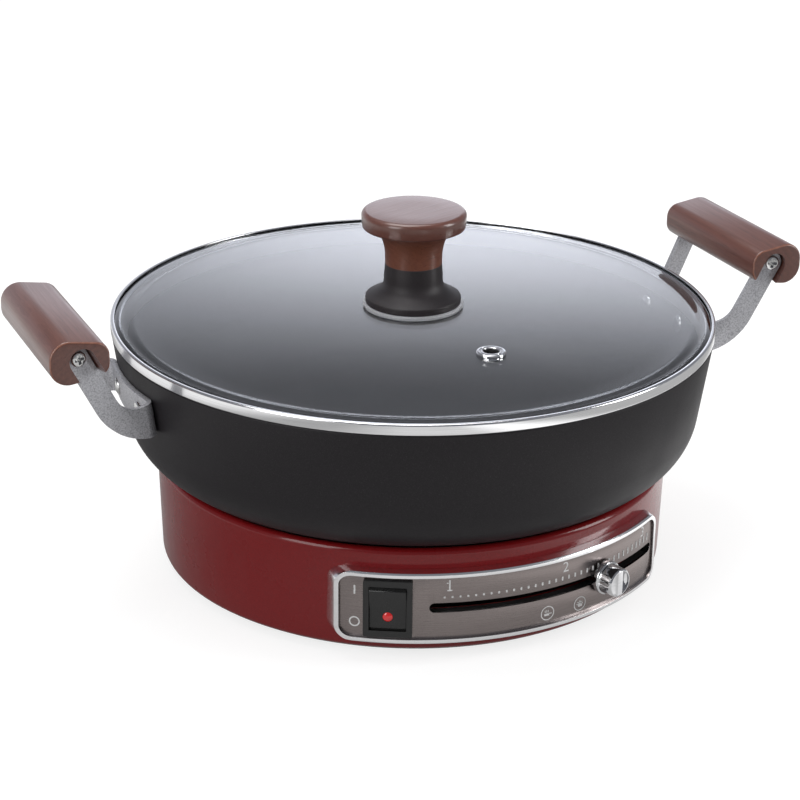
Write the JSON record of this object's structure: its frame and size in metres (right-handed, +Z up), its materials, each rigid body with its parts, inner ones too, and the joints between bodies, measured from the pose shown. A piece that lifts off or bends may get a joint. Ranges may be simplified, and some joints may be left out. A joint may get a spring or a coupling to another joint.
{
  "type": "electric table cooker with lift-off pan",
  "caption": "Round electric table cooker: a red heated base with a curved slider panel, a lift-off dark pan with two upswept wooden grips, and a flat glass lid with a wooden knob.",
  "frame": {"origin": "on the table under the middle of the base, at the underside of the feet", "axes": "+Z up; -Y is the front, where the control panel is; +X is along the line through both grips"},
  "size_m": [0.4208, 0.32, 0.1908],
  "materials": {
    "glass": "clear, polished",
    "polished_steel": "polished",
    "steel": "bright",
    "plated_steel": "zinc plated, satin",
    "hammered_steel": "silver hammered paint",
    "dark_steel": "black, satin",
    "red_enamel": "deep red gloss enamel",
    "coated_aluminium": "matt dark non-stick coating",
    "cast_aluminium": "cast and turned",
    "brushed_panel": "brushed, warm grey",
    "chrome": "bright chrome",
    "chrome_plastic": "chrome plated",
    "wood": "satin, reddish brown, fine grain",
    "black_plastic": "satin black",
    "clear_rubber": "translucent silicone",
    "rubber": "matt black",
    "ceramic": "unglazed, off-white",
    "brass": "machined",
    "red_lens": "clear red",
    "wire_sleeve": "glass-fibre sleeve"
  },
  "bodies": {
    "lid": {"lid_glass": "glass", "lid_rim_band": "polished_steel", "lid_vent_eyelet": "polished_steel", "lid_knob_cap": "wood", "lid_knob_skirt": "black_plastic", "lid_knob_gasket": "clear_rubber", "lid_knob_washer": "steel", "lid_knob_screw": "steel"},
    "pan": {"pan": "coated_aluminium", "left_handle_bracket": "hammered_steel", "right_handle_bracket": "hammered_steel", "left_handle_grip": "wood", "right_handle_grip": "wood", "left_handle_rivets": "steel", "right_handle_rivets": "steel", "left_grip_screws": "steel", "right_grip_screws": "steel"},
    "base": {"base_shell": "red_enamel", "bottom_plate": "dark_steel", "rubber_feet": "rubber", "bottom_screws": "steel", "support_posts": "steel", "post_nuts": "steel", "heat_shield": "plated_steel", "heating_plate": "cast_aluminium", "heater_tube": "steel", "plate_spacers": "steel", "spacer_screws": "steel", "thermostat_body": "ceramic", "thermostat_bushing": "brass", "thermostat_terminals": "brass", "thermal_fuse": "ceramic", "panel_frame": "chrome", "panel_carrier": "black_plastic", "panel_plate": "brushed_panel", "panel_push_nuts": "steel", "switch_housing": "black_plastic", "switch_terminals": "brass", "inlet_surround": "black_plastic", "inlet_socket": "black_plastic", "inlet_pins": "brass", "inlet_screws": "dark_steel", "wire_mains_live": "wire_sleeve", "wire_switched_live": "wire_sleeve", "wire_heater_feed": "wire_sleeve", "wire_neutral": "wire_sleeve", "wire_earth": "wire_sleeve"},
    "slider": {"thermostat_shaft": "steel", "slider_lever": "plated_steel", "slider_knob": "chrome_plastic", "lever_nut": "steel"},
    "rocker": {"switch_rocker": "black_plastic", "indicator_lens": "red_lens"}
  },
  "joints": [
    {"name": "pan_lift", "type": "slide", "parent": "base", "child": "pan", "axis": [0, 0, 1], "range_m": [0, 0.12]},
    {"name": "lid_lift", "type": "slide", "parent": "pan", "child": "lid", "axis": [0, 0, 1], "range_m": [0, 0.15]},
    {"name": "heat_slider", "type": "hinge", "parent": "base", "child": "slider", "pos_m": [0, 0, 0.031], "axis": [0, 0, 1], "range_deg": [-35.3, 13.9]},
    {"name": "power_rocker", "type": "hinge", "parent": "base", "child": "rocker", "pos_m": [-0.06552, -0.12219, 0.031], "axis": [-0.8813, 0.4726, 0], "range_deg": [0, 16]}
  ]
}
